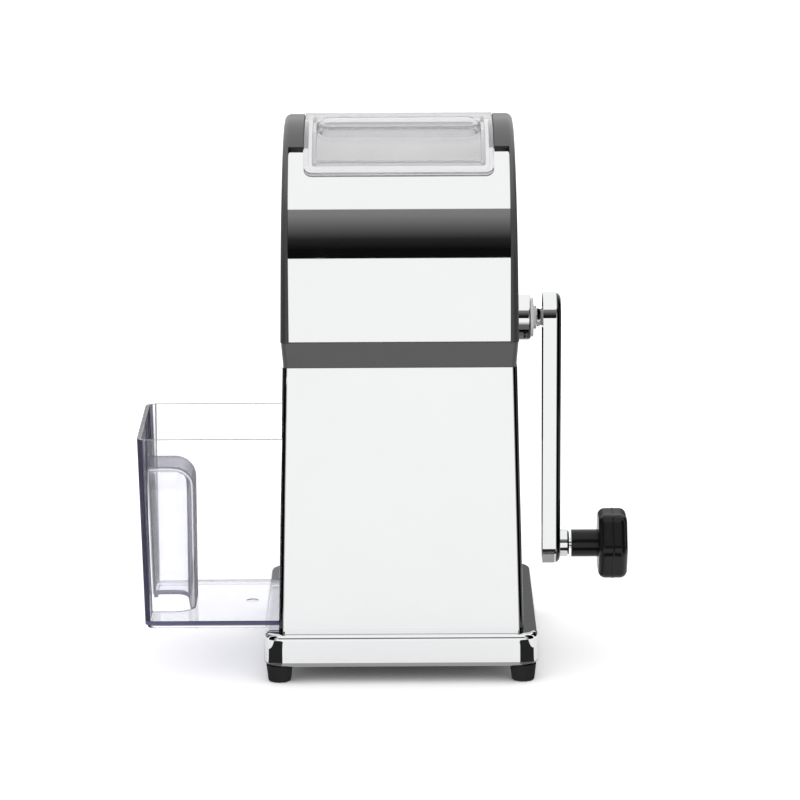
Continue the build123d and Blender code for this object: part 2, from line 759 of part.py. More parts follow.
def hooked_tooth():
    """One crushing tooth: a steep leading face, a short land and a long curved back."""
    def on_circle(radius, angle):
        return (radius * cos(radians(angle)), radius * sin(radians(angle)))

    root = blade_root_r - tooth_set_in
    foot, heel = on_circle(root, 0), on_circle(root, tooth_heel_angle)
    rise = on_circle(blade_r * tooth_rise_share, tooth_rise_angle)
    tip, land = on_circle(blade_r, tooth_tip_angle), on_circle(blade_r, tooth_land_angle)
    back = on_circle(blade_r * tooth_back_share, tooth_back_angle)
    with BuildSketch() as tooth:
        with BuildLine():
            Polyline(foot, rise, tip, land)
            ThreePointArc(land, back, heel)
            Line(heel, foot)
        make_face()
    return tooth.sketch


crusher_blades = {}
for i, x in enumerate(blade_places):
    with BuildPart() as blade:
        with BuildSketch(Plane.YZ.offset(x - blade_thickness / 2)):
            with Locations((crank_y, crank_z)):
                Circle(blade_root_r)
                with PolarLocations(0, tooth_count, start_angle=i * tooth_stagger):
                    add(hooked_tooth())
                RegularPolygon(
                    blade_bore_flat / 2, 6, major_radius=False, mode=Mode.SUBTRACT)
        extrude(amount=blade_thickness)
    crusher_blades[f"crusher_blade_{i + 1}"] = blade

with BuildPart() as blade_spacers:
    faces_x = [-rotor_half] + [
        x + side * blade_thickness / 2 for x in blade_places for side in (-1, 1)] + [rotor_half]
    for start_x, end_x in zip(faces_x[0::2], faces_x[1::2]):
        extrude(
            disc_x(start_x, spacer_r) - hexagon_x(start_x, blade_bore_flat), amount=end_x - start_x)

# ---------------------------------------------------------------- comb
finger_width = blade_pitch - blade_thickness - 2 * finger_clearance
finger_tip_y = crank_y - spacer_r - finger_clearance
comb_front_y = crank_y - frame_inner_half_depth

with BuildPart() as comb:
    comb_width = 2 * (frame_inner_half_width - slide_gap - seat)
    with Locations((0, comb_front_y + comb_thickness / 2, crank_z)):
        Box(comb_width, comb_thickness, comb_height)
    finger_places = [x + side * blade_pitch / 2 for x in blade_places for side in (-1, 1)]
    for x in sorted(set(finger_places)):
        with BuildSketch(Plane.YZ.offset(x - finger_width / 2)):
            with BuildLine():
                Polyline(
                    (comb_front_y, crank_z - finger_height),
                    (comb_front_y, crank_z + finger_height),
                    (finger_tip_y, crank_z + finger_tip_above),
                    (finger_tip_y, crank_z - finger_tip_below),
                    close=True,
                )
            make_face()
        extrude(amount=finger_width)
    with Locations((0, crank_y, crank_z)):
        Box(comb_width, frame_depth, comb_height, mode=Mode.INTERSECT)

# ---------------------------------------------------------------- bearings and boss
with BuildPart() as left_bush:
    extrude(disc_x(-frame_half_width - bush_flange, bush_flange_r), amount=bush_flange)
    extrude(disc_x(-frame_half_width, bush_r), amount=frame_wall)
    extrude(
        disc_x(-frame_half_width - bush_flange, shaft_r + running),
        amount=frame_wall + bush_flange, mode=Mode.SUBTRACT)

with BuildPart() as crank_bush:
    extrude(disc_x(frame_inner_half_width, bush_r), amount=bush_end_x - frame_inner_half_width)
    extrude(disc_x(boss_end_x, bush_flange_r), amount=bush_flange)
    fillet(crank_bush.faces().sort_by(Axis.X)[-1].edges(), bush_edge)
    extrude(
        disc_x(frame_inner_half_width, shaft_r + running),
        amount=bush_end_x - frame_inner_half_width, mode=Mode.SUBTRACT)

with BuildPart() as crank_boss:
    extrude(disc_x(boss_start_x, boss_r), amount=boss_length)
    fillet(crank_boss.faces().sort_by(Axis.X)[-1].edges(), boss_edge)
    extrude(disc_x(boss_start_x, bush_r + seat), amount=boss_length, mode=Mode.SUBTRACT)

# ---------------------------------------------------------------- crank
def arm_outline(x, inset=0.0):
    """The crank arm's outline: a large round at the shaft and a smaller one at the knob."""
    with BuildSketch(Plane.YZ.offset(x)) as outline:
        with Locations((crank_y, crank_z)):
            Circle(arm_hub_r - inset)
        with Locations((crank_y, knob_z)):
            Circle(arm_tip_r - inset)
        make_hull()
    return outline.sketch


def turned_on_crank(points, z=crank_z):
    """A piece turned about an X line through the crank: points are (x, radius)."""
    with BuildPart() as turned:
        with BuildSketch(Plane.XZ.offset(-crank_y)):
            with BuildLine():
                Polyline(*[(x, z + radius) for x, radius in points], close=True)
            make_face()
        revolve(axis=Axis((0, crank_y, z), (1, 0, 0)))
    return turned.part


with BuildPart() as arm_hollow:
    extrude(arm_outline(arm_start_x, arm_wall), amount=arm_depth - arm_wall)
    fillet(arm_hollow.faces().sort_by(Axis.X)[-1].edges(), arm_round - arm_wall)

with BuildPart() as crank_arm:
    extrude(arm_outline(arm_start_x), amount=arm_depth)
    fillet(crank_arm.faces().sort_by(Axis.X)[-1].edges(), arm_round)
    add(arm_hollow.part, mode=Mode.SUBTRACT)
    screw_seat = turned_on_crank([
        (arm_web_x, 0), (arm_web_x, crank_screw_r + seat),
        (arm_end_x, crank_screw_head_r + seat), (arm_end_x, 0)])
    add(screw_seat, mode=Mode.SUBTRACT)
    extrude(disc_x(arm_web_x, spindle_r + running, z=knob_z), amount=arm_wall, mode=Mode.SUBTRACT)

with BuildPart() as crank_hub:
    hub_x = bush_end_x + hub_gap
    hub_bore = shaft_r - hub_step + running
    add(turned_on_crank([
        (hub_x, hub_bore), (hub_x, hub_r), (hub_x + hub_waist, hub_r - hub_waist_draw_in),
        (arm_start_x + hub_waist, hub_flare_r), (arm_web_x, hub_flare_r), (arm_web_x, hub_bore)]))

with BuildPart() as crank_screw:
    screw_tip_x = shaft_end_x - crank_screw_grip + seat
    screw_head_x = arm_end_x - seat
    add(turned_on_crank([
        (screw_tip_x, 0), (screw_tip_x, crank_screw_r), (arm_web_x, crank_screw_r),
        (screw_head_x, crank_screw_head_r - seat), (screw_head_x, 0)]))
    with Locations((screw_head_x - cross_depth / 2, crank_y, crank_z)):
        Box(cross_depth, 2 * crank_screw_r, cross_slot, mode=Mode.SUBTRACT)
        Box(cross_depth, cross_slot, 2 * crank_screw_r, mode=Mode.SUBTRACT)

# ---------------------------------------------------------------- knob and spindle
spindle_start_x = arm_start_x + spindle_set_in
spindle_head_x = knob_end_x - knob_recess_depth + slide_gap

with BuildPart() as knob_spindle:
    add(turned_on_crank([
        (spindle_start_x, 0), (spindle_start_x, spindle_shoulder_r), (arm_web_x, spindle_shoulder_r),
        (arm_web_x, spindle_r), (spindle_head_x, spindle_r), (spindle_head_x, spindle_head_r),
        (spindle_head_x + spindle_head, spindle_head_r), (spindle_head_x + spindle_head, 0)],
        z=knob_z))

with BuildPart() as ferrule:
    add(turned_on_crank([
        (arm_end_x, spindle_r + running), (arm_end_x, ferrule_r), (ferrule_end_x - ferrule_edge, ferrule_r),
        (ferrule_end_x, ferrule_r - ferrule_edge), (ferrule_end_x, spindle_r + running)],
        z=knob_z))

with BuildPart() as knob:
    with BuildSketch(Plane.YZ.offset(knob_head_x)) as knob_outline:
        with Locations((crank_y, knob_z)):
            RegularPolygon(knob_across_corners / 2, 6)
        fillet(knob_outline.vertices(), knob_corner)
    extrude(amount=knob_head_length)
    end_faces = knob.faces().sort_by(Axis.X)
    fillet(end_faces[0].edges() + end_faces[-1].edges(), knob_round)
    extrude(disc_x(knob_start_x, knob_neck_r, z=knob_z), amount=knob_neck_length + knob_round)
    extrude(
        disc_x(knob_start_x, spindle_r + running, z=knob_z),
        amount=knob_neck_length + knob_head_length, mode=Mode.SUBTRACT)
    extrude(
        disc_x(knob_end_x, knob_recess_r, z=knob_z), amount=-knob_recess_depth, mode=Mode.SUBTRACT)

with BuildPart() as knob_end_cap:
    extrude(disc_x(knob_end_x - knob_cap, knob_recess_r - running, z=knob_z), amount=knob_cap)
    fillet(knob_end_cap.faces().sort_by(Axis.X)[-1].edges(), knob_cap_edge)

# ---------------------------------------------------------------- drawer
floor_left_x = drawer_left_x + drawer_draft
floor_right_x = drawer_right_x - drawer_side_draft
pocket_x = floor_left_x + pocket_depth


def drawer_section(z, inset=0.0, lift=0.0):
    """The drawer's outline at height z: its left end leans out most, its other sides a little."""
    rise = (z - drawer_floor_z) / (drawer_rim_z - drawer_floor_z)
    left = floor_left_x - drawer_draft * rise + inset
    right = floor_right_x + drawer_side_draft * rise - inset
    depth = drawer_depth - 2 * drawer_side_draft * (1 - rise) - 2 * inset
    return rounded_slab(
        z, right - left, depth, drawer_corner - min(inset, drawer_wall), x=(left + right) / 2,
        y=drawer_y)


def pocket_form(grow):
    """The finger pocket, open to the left and below, grown by a wall's thickness on request."""
    start_x = drawer_left_x - beyond
    low_z = drawer_low_z - pull_gap
    with BuildPart() as form:
        with BuildSketch(Plane.XY.offset(low_z)):
            with Locations(((start_x + pocket_x + grow) / 2, drawer_y)):
                Rectangle(pocket_x + grow - start_x, pocket_width + 2 * grow)
        extrude(amount=pocket_top_z + grow - low_z)
        fillet(form.edges().filter_by(Axis.Z).group_by(Axis.X)[-1], pocket_corner + grow)
        roof_edges = form.faces().sort_by(Axis.Z)[-1].edges()
        fillet(roof_edges.sort_by(Axis.X)[1:], pocket_round + grow)
    return form.part


with BuildPart() as drawer_cavity:
    loft([
        drawer_section(drawer_floor_z + drawer_wall, drawer_wall),
        drawer_section(drawer_rim_z, drawer_wall)])
    add(pocket_form(drawer_wall), mode=Mode.SUBTRACT)

with BuildPart() as drawer:
    loft([drawer_section(drawer_floor_z), drawer_section(drawer_rim_z)])
    add(drawer_cavity.part, mode=Mode.SUBTRACT)
    ring = drawer_section(drawer_floor_z, drawer_foot_inset)
    ring_hole = drawer_section(drawer_floor_z, drawer_foot_inset + drawer_foot_wall)
    extrude(ring - ring_hole, amount=-(drawer_floor_z - drawer_low_z))
    add(pocket_form(0), mode=Mode.SUBTRACT)
    with BuildSketch(Plane.XY.offset(drawer_floor_z + drawer_wall)):
        with Locations((drawer_x, drawer_y)):
            Circle(gate_mark_r)
    extrude(amount=-gate_mark_depth, mode=Mode.SUBTRACT)

# ---------------------------------------------------------------- labels and files
pieces = {
    "base": base,
    "base_plate": base_plate,
    **feet,
    "foot_screws": foot_screws,
    "lower_housing": lower_housing,
    "drawer_guide": drawer_guide,
    "collar": collar,
    "hood": hood,
    "front_panel": front_panel,
    "rear_panel": rear_panel,
    "lid": lid,
    "lid_hinge_pin": lid_hinge_pin,
    "hopper": hopper,
    "crusher_frame": crusher_frame,
    "ice_chute": ice_chute,
    "frame_screws": frame_screws,
    "crusher_shaft": crusher_shaft,
    "shaft_clip": shaft_clip,
    **crusher_blades,
    "blade_spacers": blade_spacers,
    "comb": comb,
    "left_bush": left_bush,
    "crank_bush": crank_bush,
    "crank_boss": crank_boss,
    "crank_hub": crank_hub,
    "crank_arm": crank_arm,
    "crank_screw": crank_screw,
    "knob_spindle": knob_spindle,
    "ferrule": ferrule,
    "knob": knob,
    "knob_end_cap": knob_end_cap,
    "drawer": drawer,
}

# the frame's origin is under the middle of the whole object, drawer and crank included
to_frame = Location((-(drawer_left_x + knob_end_x) / 2, 0, 0))
os.makedirs("parts", exist_ok=True)
for name, piece in pieces.items():
    placed = piece.part.moved(to_frame)
    placed.label = name
    export_step(placed, f"parts/{name}.step")
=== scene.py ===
"""Hand crank ice crusher: the studio, the finishes and the knob's seam around the frame."""

import math

import bpy
import numpy as np
from bpy.props import FloatProperty, FloatVectorProperty, PointerProperty
from mathutils import Matrix, Vector


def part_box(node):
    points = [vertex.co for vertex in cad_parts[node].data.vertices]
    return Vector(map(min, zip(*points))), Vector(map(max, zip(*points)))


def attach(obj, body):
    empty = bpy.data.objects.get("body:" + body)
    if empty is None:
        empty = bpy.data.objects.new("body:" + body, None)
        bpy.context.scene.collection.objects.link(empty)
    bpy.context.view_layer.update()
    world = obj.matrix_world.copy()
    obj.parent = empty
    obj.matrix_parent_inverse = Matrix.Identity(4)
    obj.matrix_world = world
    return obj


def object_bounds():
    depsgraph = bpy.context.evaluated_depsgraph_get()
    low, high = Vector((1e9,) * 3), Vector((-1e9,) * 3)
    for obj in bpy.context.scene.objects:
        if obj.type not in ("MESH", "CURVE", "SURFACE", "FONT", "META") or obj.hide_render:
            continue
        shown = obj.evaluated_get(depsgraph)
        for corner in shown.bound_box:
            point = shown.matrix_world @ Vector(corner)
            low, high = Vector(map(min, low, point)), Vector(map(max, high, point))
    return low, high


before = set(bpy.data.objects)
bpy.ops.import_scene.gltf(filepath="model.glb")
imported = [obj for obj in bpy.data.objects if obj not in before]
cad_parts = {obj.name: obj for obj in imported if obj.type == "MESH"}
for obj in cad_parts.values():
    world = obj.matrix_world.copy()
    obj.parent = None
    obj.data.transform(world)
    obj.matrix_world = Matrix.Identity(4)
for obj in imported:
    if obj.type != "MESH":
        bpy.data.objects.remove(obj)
cad_low, cad_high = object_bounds()

bl_info = {
    "name": "Hand Crank Ice Crusher",
    "version": (1, 0, 0),
    "blender": (4, 5, 0),
    "location": "View3D > Sidebar > Ice Crusher",
    "description": "Builds the finishes, knob seam and studio of a hand crank ice crusher",
    "category": "Object",
}

WHITE, BLACK = (1.0, 1.0, 1.0), (0.0, 0.0, 0.0)

# ---------------------------------------------------------------- sizes in metres, and the studio

# How far the crusher's own middle lies to the right of the frame's, which has the drawer too.
MIDDLE_X = sum(corner.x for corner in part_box("lower_housing")) / 2

# The clear drawer's zones of painted depth shade, measured from its box.
DRAWER_CORNER = 0.0052
DRAWER_CORNER_REFRACTION_LINE = 0.0009
DRAWER_FOOT_RING = 0.0014
DRAWER_FLOOR_TOP = 0.0035
POCKET_ROOF_LOW = 0.028
POCKET_ROOF_HIGH = 0.014
POCKET_ROOF_SOFT = 0.002

# The seam round the knob.
KNOB_SIDES = 6
KNOB_CORNER_SOFTNESS = 0.0011
SEAM_FROM_END = 0.0071
SEAM_HALF_WIDTH = 0.00055
SEAM_HEIGHT = 0.00028
SEAM_SUNK = 0.0001
SEAM_STEPS_ROUND, SEAM_STEPS_ACROSS = 240, 8

# The studio's cards. Along Y they leave a gap beside the crusher that keeps its sides light.
FLOOR_REACH = 20.0
LEVEL_CARD_LIFT = 0.001
FRONT_CARD_REACH = 1.0
REAR_CARD_PLACE, REAR_CARD_REACH, REAR_CARD_HEIGHT = 0.45, 0.5, 0.2
FAR_CARD_HEIGHT, FAR_CARD_FRONT, FAR_CARD_REAR = 0.6, (-1.0, -0.077), (0.042, 1.2)
FAR_FRONT_FADE, FAR_REAR_FADE = (0.35, 0.85), (0.3, 0.8)
NEAR_CARD_HEIGHT, NEAR_CARD_FRONT, NEAR_FADE = 0.3, (-0.27, -0.062), (0.14, 0.27)
BASE_CARD_ACROSS, BASE_CARD_ALONG = (-0.08, 0.08), (-0.093, 0.1)
CORNER_CARD_ACROSS, CORNER_CARD_ALONG = (0.059, 0.12), (-0.14, -0.06)

# How brightly the grey cards shine, where 1 is white.
REAR_CARD_GLOW, LEFT_REAR_GLOW, BASE_CARD_GLOW, CORNER_CARD_GLOW = 0.13, 0.2, 0.35, 0.02

# The dark screen: heights above the horizon in degrees, each with its share of the top's grey.
SCREEN_BLACK, SCREEN_BLACK_TOP = (0.004, 0.004, 0.004), 11.0
SCREEN_STEPS = ((20.0, 0.09), (31.0, 0.5), (41.0, 0.93))
SCREEN_EDGE = 0.004


# ---------------------------------------------------------------- shader writing


class Socket:
    """An output of a node tree. Python's operators on it add Math nodes."""

    def __init__(self, tree, link):
        self.tree = tree
        self.link = link

    def __add__(self, other):
        return self.tree.math("ADD", self, other)

    def __sub__(self, other):
        return self.tree.math("SUBTRACT", self, other)

    def __rsub__(self, other):
        return self.tree.math("SUBTRACT", other, self)

    def __mul__(self, other):
        return self.tree.math("MULTIPLY", self, other)

    def __neg__(self):
        return self.tree.math("MULTIPLY", self, -1.0)

    def __abs__(self):
        return self.tree.math("ABSOLUTE", self)

    def __or__(self, other):
        """The greater of two masks: where the one or the other holds."""
        return self.tree.math("MAXIMUM", self, other)

    def __lt__(self, other):
        return self.tree.math("LESS_THAN", self, other)

    __radd__ = __add__
    __rmul__ = __mul__

    def between(self, low, high):
        """0 below low and 1 above high, with a straight slope between them."""
        return self.tree.node(
            "ShaderNodeMapRange", {"clamp": True},
            {"Value": self, "From Min": low, "From Max": high})


class Tree:
    """The node tree of a material or a world, written from nothing."""

    def __init__(self, owner):
        owner.use_nodes = True
        self.tree = owner.node_tree
        self.tree.nodes.clear()

    def node(self, kind, settings=None, inputs=None, output=None, stops=None):
        """Adds a node: its settings first, then a ramp's stops, then its inputs by identifier."""
        made = self.tree.nodes.new(kind)
        for name, value in (settings or {}).items():
            setattr(made, name, value)
        if stops:
            self.fill_ramp(made.color_ramp.elements, stops)
        sockets = {socket.identifier: socket for socket in made.inputs}
        for name, value in (inputs or {}).items():
            if isinstance(value, Socket):
                self.tree.links.new(value.link, sockets[name])
            else:
                sockets[name].default_value = value
        outputs = {socket.identifier: socket for socket in made.outputs}
        first = next(iter(made.outputs), None)
        return Socket(self, outputs[output] if output else first)

    def fill_ramp(self, elements, stops):
        """Replaces a ramp's stops by the given positions and colours."""
        while len(elements) > 1:
            elements.remove(elements[-1])
        for count, (position, colour) in enumerate(stops):
            stop = elements.new(position) if count else elements[0]
            stop.position = position
            stop.color = (*colour, 1.0)

    def math(self, operation, *values):
        """A Math node on links or numbers."""
        inputs = dict(zip(("Value", "Value_001"), values))
        return self.node("ShaderNodeMath", {"operation": operation}, inputs)

    def ray(self, question):
        """What Light Path says of the ray that meets the surface, by its output's name."""
        return self.node("ShaderNodeLightPath", output=question)

    def place(self, stretch):
        """The object's own coordinates in metres, stretched along each axis."""
        where = self.node("ShaderNodeTexCoord", output="Object")
        return self.node("ShaderNodeMapping", None, {"Vector": where, "Scale": stretch})

    def axes(self, coordinates):
        """The X, Y and Z of one of the Texture Coordinate node's outputs."""
        vector = self.node("ShaderNodeTexCoord", output=coordinates)
        return [
            self.node("ShaderNodeSeparateXYZ", None, {"Vector": vector}, output=axis)
            for axis in "XYZ"]

    def along(self):
        """0 where a surface faces the viewer, 1 where it is seen along its length."""
        return self.node("ShaderNodeLayerWeight", None, {"Blend": 0.5}, output="Facing")

    def noise(self, size, detail=2.0, stretch=(1.0, 1.0, 1.0), roughness=0.5):
        """Cloudy noise from 0 to 1 whose blobs are about size metres across."""
        return self.node(
            "ShaderNodeTexNoise", None,
            {"Vector": self.place(stretch), "Scale": 1.0 / size, "Detail": detail,
             "Roughness": roughness})

    def mix(self, share, first, second):
        """A colour between first and second."""
        return self.node(
            "ShaderNodeMix", {"data_type": "RGBA"},
            {"Factor_Float": share, "A_Color": as_colour(first), "B_Color": as_colour(second)},
            output="Result_Color")

    def shader_mix(self, share, first, second):
        """A surface that is partly first and partly second."""
        return self.node(
            "ShaderNodeMixShader", None, {"Fac": share, "Shader": first, "Shader_001": second})

    def bump(self, height, depth, strength):
        """Bumps of depth metres where height goes from 0 to 1."""
        return self.node(
            "ShaderNodeBump", None, {"Height": height, "Distance": depth, "Strength": strength})

    def principled(self, **values):
        """The surface shader, its sockets named with underscores for spaces."""
        return self.node(
            "ShaderNodeBsdfPrincipled", None,
            {name.replace("_", " "): value for name, value in values.items()})

    def surface(self, shader, inside=None):
        """Ends the material with its surface and, for clear stuff, what fills it."""
        ends = {"Surface": shader}
        if inside:
            ends["Volume"] = inside
        self.node("ShaderNodeOutputMaterial", None, ends)


def as_colour(value):
    """Three numbers as a socket's four; a link stays as it is."""
    return value if isinstance(value, Socket) else (*value[:3], 1.0)


def shaded(tone, share):
    """A tone made darker or brighter by one share, up to white."""
    return [min(part * share, 1.0) for part in tone]


def material(name):
    """A new material and its empty tree."""
    made = bpy.data.materials.new(name)
    return made, Tree(made)


# ---------------------------------------------------------------- meshes and nodes


def grid_mesh(name, points, close_u=False, smooth=True):
    """A mesh from points[u, v, 3]; each neighbouring four make one face, whole arrays at a time.

    With close_u the last row joins the first, so that the grid is a ring."""
    rows, columns = points.shape[:2]
    u = np.arange(rows if close_u else rows - 1)
    v = np.arange(columns - 1)
    first, second = np.meshgrid(u, v, indexing="ij")
    next_u, next_v = (first + 1) % rows, second + 1
    faces = np.stack(
        [first * columns + second, next_u * columns + second,
         next_u * columns + next_v, first * columns + next_v], axis=-1).reshape(-1, 4)
    mesh = bpy.data.meshes.new(name)
    mesh.from_pydata(points.reshape(-1, 3).tolist(), [], faces.tolist())
    mesh.polygons.foreach_set("use_smooth", np.full(len(faces), smooth))
    mesh.update()
    return mesh


def add_object(name, mesh, finish):
    """An object at the origin with one mesh and one finish."""
    made = bpy.data.objects.new(name, mesh)
    bpy.context.scene.collection.objects.link(made)
    mesh.materials.append(finish)
    return made


def dress(finish, *nodes):
    """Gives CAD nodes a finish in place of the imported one."""
    for name in nodes:
        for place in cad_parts[name].material_slots:
            place.link = "DATA"
            place.material = finish


# ---------------------------------------------------------------- finishes


def chrome_finish(name, settings, edge=0.0, both_sides=False, under=0.0):
    """Mirror chrome: faint cloudiness in the polish, wiped smears, and painted dark reflections.

    The share edge is a painted dark reflection on the upright roundings next to the outward side,
    or to both sides. The share under is a painted dark reflection on what faces downwards."""
    made, tree = material(name)
    tone = settings.chrome_tone
    cloud = tree.noise(size=0.045, detail=3.0)
    smear = tree.noise(size=0.012, detail=5.0, stretch=(1.0, 1.0, 0.25), roughness=0.6)
    plating = tree.mix(cloud, shaded(tone, 0.975), tone)
    outward, _, up = tree.axes("Normal")
    outward = abs(outward) if both_sides else outward
    # Painted dark reflection: the upright roundings beside the outward side, and what faces
    # downwards, are darkened by the shares edge and under.
    painted_edge_reflection_mask = outward.between(0.15, 0.35) * (1.0 - outward.between(0.985, 0.998))
    dark = edge * painted_edge_reflection_mask | under * (-up).between(0.0, 0.15)
    rough = settings.chrome_polish + 0.03 * smear.between(0.52, 0.8)
    ripple = tree.bump(tree.noise(size=0.03, detail=1.0), depth=0.00001, strength=0.25)
    tree.surface(tree.principled(
        Base_Color=tree.mix(dark, plating, shaded(tone, 0.03)), Metallic=1.0, Roughness=rough,
        Normal=ripple))
    return made


def grained_plastic(name, tone, roughness, grain=0.0004, depth=0.00003, gloss=0.5, painted_side_shade=0.0):
    """Moulded plastic with a fine spark-eroded grain and slightly uneven gloss.

    A given share of its tone is taken off as painted shade where the surface doesn't face upwards,
    so that its sides render darker than its lit top."""
    made, tree = material(name)
    cloud = tree.noise(size=0.02, detail=3.0)
    speck = tree.noise(size=grain)
    shade = tree.mix(cloud, shaded(tone, 0.9), shaded(tone, 1.08))
    # Painted shade: surfaces that don't face upwards lose the given share of their tone.
    level = tree.axes("Normal")[2].between(0.05, 0.6)
    tree.surface(tree.principled(
        Base_Color=tree.mix(painted_side_shade * (1.0 - level), shade, BLACK),
        Roughness=roughness + 0.12 * (cloud - 0.5),
        Normal=tree.bump(speck, depth, strength=0.6), Specular_IOR_Level=gloss))
    return made


def drawer_painted_depth(tree, box, along):
    """The masks where the drawer's painted depth shade goes: its outer corners and pocket roof,
    and its floor's edge, all places of thick plastic.

    A corner counts where it turns away from the viewer. Where its round ends, a fine painted dark
    line stands in for a refraction. The floor's edge leaves out the foot ring below it."""
    low, high = box
    x, y, z = tree.axes("Object")
    front_or_rear = (y < low.y + DRAWER_CORNER) | (1.0 - (y < high.y - DRAWER_CORNER))
    corner = (x < low.x + DRAWER_CORNER) * front_or_rear
    corner_refraction_line = 1.0 - (x < low.x + DRAWER_CORNER - DRAWER_CORNER_REFRACTION_LINE)
    # Painted dark refraction line where the corner's round ends.
    corners = corner * (along.between(0.06, 0.2) | corner_refraction_line * 0.6)
    roof_low, roof_high = high.z - POCKET_ROOF_LOW, high.z - POCKET_ROOF_HIGH
    roof = z.between(roof_low, roof_low + POCKET_ROOF_SOFT) * (
        1.0 - z.between(roof_high, roof_high + POCKET_ROOF_SOFT))
    floor_edge = (z < low.z + DRAWER_FLOOR_TOP) * (1.0 - (z < low.z + DRAWER_FOOT_RING))
    return corners, roof, floor_edge


def clear_plastic(name, depth_tint, absorption, haze, box=None):
    """Clear moulded plastic that darkens with its depth and lets lamps and soft light through.

    Upright walls that are seen along their length take painted shade. An opaque dark violet
    surface is mixed in, partly for the real violet depth of the plastic and partly for dark
    refractions. In a drawer of the given box, so do the rounded corners at its outer end, the edge
    of its floor and the roof of the finger pocket.
    and the roof of the finger pocket."""
    made, tree = material(name)
    flow = tree.noise(size=0.02)
    scuff = tree.noise(size=0.006, detail=5.0, stretch=(1.0, 1.0, 0.2), roughness=0.65)
    smooth = 0.015 + 0.03 * flow.between(0.5, 0.9) + 0.05 * scuff.between(0.62, 0.8)
    clear = tree.principled(
        Base_Color=as_colour(WHITE), Roughness=smooth, Transmission_Weight=1.0 - haze, IOR=1.49,
        Normal=tree.bump(flow, depth=0.0001, strength=0.15))
    along = tree.along()
    lengthwise = along.between(0.62, 0.86)
    upright = 1.0 - abs(tree.axes("Normal")[2]).between(0.4, 0.8)
    thick = upright * lengthwise
    # Painted shade: the opaque dark violet that thick places show, partly the plastic's own tint
    # and partly dark refraction.
    painted_depth_tint = [part ** 1.5 for part in depth_tint]
    painted_depth_tone = as_colour(shaded(painted_depth_tint, 0.16))
    if box:
        corners, roof, floor_edge = drawer_painted_depth(tree, box, along)
        thick = thick | roof * lengthwise | upright * (corners | floor_edge)
        painted_depth_tone = tree.mix(floor_edge, painted_depth_tone, shaded(painted_depth_tint, 0.45))
    painted_depth_surface = tree.principled(Base_Color=painted_depth_tone, Roughness=0.4, Specular_IOR_Level=0.0)
    cloudy = 0.88 + 0.3 * (scuff - 0.5)
    stuff = tree.shader_mix(thick * cloudy, clear, painted_depth_surface)
    open_to_light = tree.node(
        "ShaderNodeBsdfTransparent", None, {"Color": (0.97, 0.97, 0.98, 1.0)})
    lamp = tree.ray("Is Shadow Ray") | tree.ray("Is Diffuse Ray")
    depth = tree.node(
        "ShaderNodeVolumeAbsorption", None,
        {"Color": as_colour(depth_tint), "Density": absorption})
    tree.surface(tree.shader_mix(lamp, stuff, open_to_light), depth)
    return made


def cast_metal(name, tone, roughness):
    """Cast metal: pitted skin with brighter rubbed spots."""
    made, tree = material(name)
    skin = tree.noise(size=0.0012, detail=4.0)
    cloud = tree.noise(size=0.01, detail=3.0)
    tree.surface(tree.principled(
        Base_Color=tree.mix(cloud, shaded(tone, 0.8), tone), Metallic=1.0,
        Roughness=roughness + 0.15 * (cloud - 0.5),
        Normal=tree.bump(skin, depth=0.00012, strength=0.5)))
    return made


def brushed_steel(name, tone, roughness, stretch):
    """Steel with fine grinding lines drawn out along one axis."""
    made, tree = material(name)
    lines = tree.noise(size=0.0005, detail=3.0, stretch=stretch)
    cloud = tree.noise(size=0.008)
    tree.surface(tree.principled(
        Base_Color=tree.mix(lines, shaded(tone, 0.85), tone), Metallic=1.0,
        Roughness=roughness + 0.12 * (cloud - 0.5),
        Normal=tree.bump(lines, depth=0.00002, strength=0.4)))
    return made


def card_finish(name, glow, fade=None):
    """A card's own light: even, or fading to white between two distances along Y."""
    made, tree = material(name)
    colour = as_colour((glow,) * 3)
    if fade:
        away = abs(tree.axes("Object")[1]).between(*fade)
        colour = tree.mix(away, colour, WHITE)
    tree.surface(tree.node("ShaderNodeEmission", None, {"Color": colour, "Strength": 1.0}))
    return made


# ---------------------------------------------------------------- settings


def distance(name, description, default):
    """A length that the panel shows in the scene's unit."""
    return FloatProperty(
        name=name, description=description, default=default, unit="LENGTH", subtype="DISTANCE")


def angle(name, description, degrees):
    """An angle, given here in degrees."""
    return FloatProperty(
        name=name, description=description, default=math.radians(degrees), subtype="ANGLE")


def share_of_light(name, description, default):
    """A share from 0 to 1."""
    return FloatProperty(
        name=name, description=description, default=default, min=0.0, max=1.0, subtype="FACTOR")


def tone_of(name, description, default):
    """A colour of one of the finishes."""
    return FloatVectorProperty(
        name=name, description=description, default=default, min=0.0, max=1.0, subtype="COLOR")


